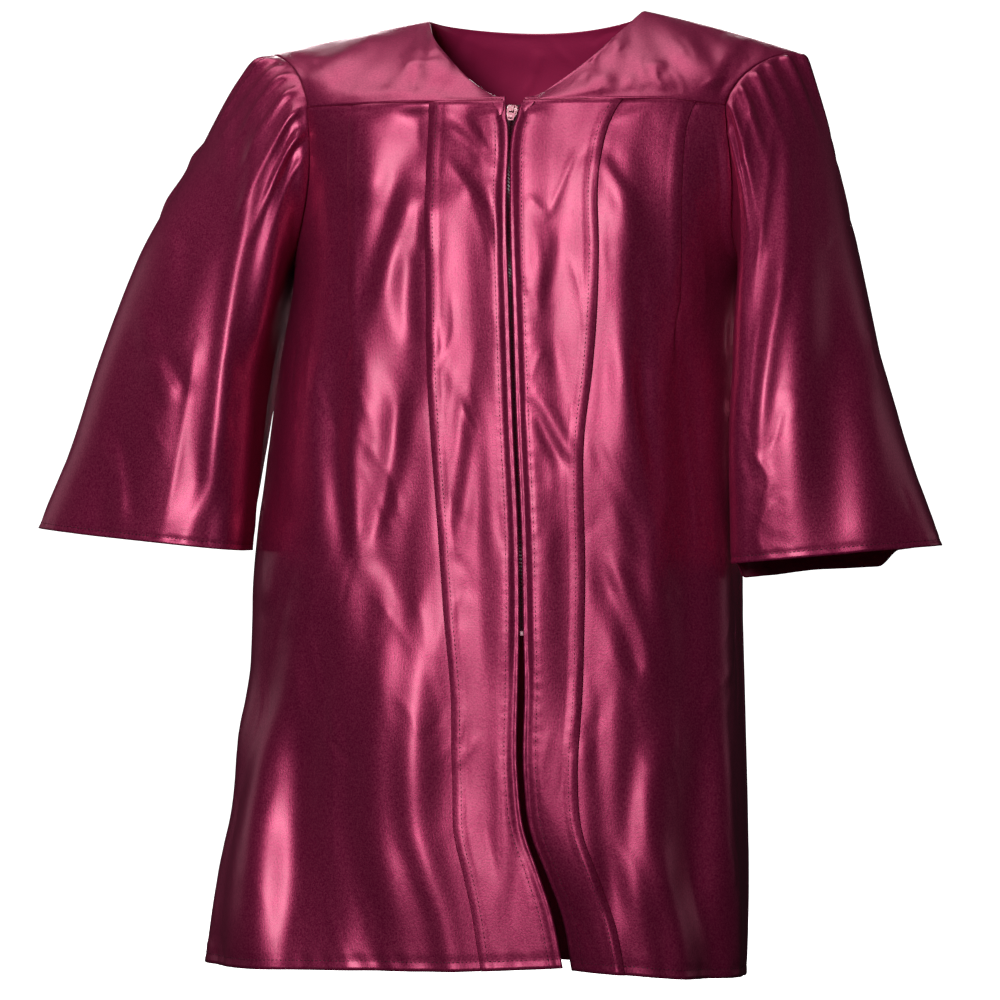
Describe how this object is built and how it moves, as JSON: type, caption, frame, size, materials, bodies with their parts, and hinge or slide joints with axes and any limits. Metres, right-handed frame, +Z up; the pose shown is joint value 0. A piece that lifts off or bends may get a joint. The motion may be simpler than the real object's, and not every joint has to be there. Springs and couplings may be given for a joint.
{
  "type": "choir robe, worn form with no wearer",
  "caption": "Child-size choir robe in satin with shoulder yokes, tucked fronts, gathered back, bell sleeves and a front zip, shaped as worn with no wearer.",
  "frame": {"origin": "midway between the two shoulders, under the yokes' upper seams, where the robe rests on the wearer", "axes": "+Z up, -Y out of the front, +X to the wearer's left"},
  "size_m": [0.7215, 0.2589, 0.7589],
  "materials": {
    "satin": "shiny maroon satin",
    "zip_tape": "woven maroon tape and coil",
    "slider_enamel": "maroon enamel, worn bright on the bridge",
    "tab_enamel": "maroon enamel",
    "stop_metal": "bright metal"
  },
  "bodies": {
    "robe": {"yoke_front_left": "satin", "yoke_front_right": "satin", "yoke_back": "satin", "front_left": "satin", "front_right": "satin", "back_panel": "satin", "sleeve_left": "satin", "sleeve_right": "satin", "corner_left": "satin", "corner_right": "satin", "zip_tape_left": "zip_tape", "zip_tape_right": "zip_tape", "zip_slider": "slider_enamel", "zip_stop": "stop_metal"},
    "pull_tab": {"pull_tab": "tab_enamel"}
  },
  "joints": [
    {"name": "pull_tab_hinge", "type": "hinge", "parent": "robe", "child": "pull_tab", "pos_m": [0.00221, -0.10339, -0.06024], "axis": [-0.995, 0.0118, 0.0992], "range_deg": [0, 170]}
  ]
}
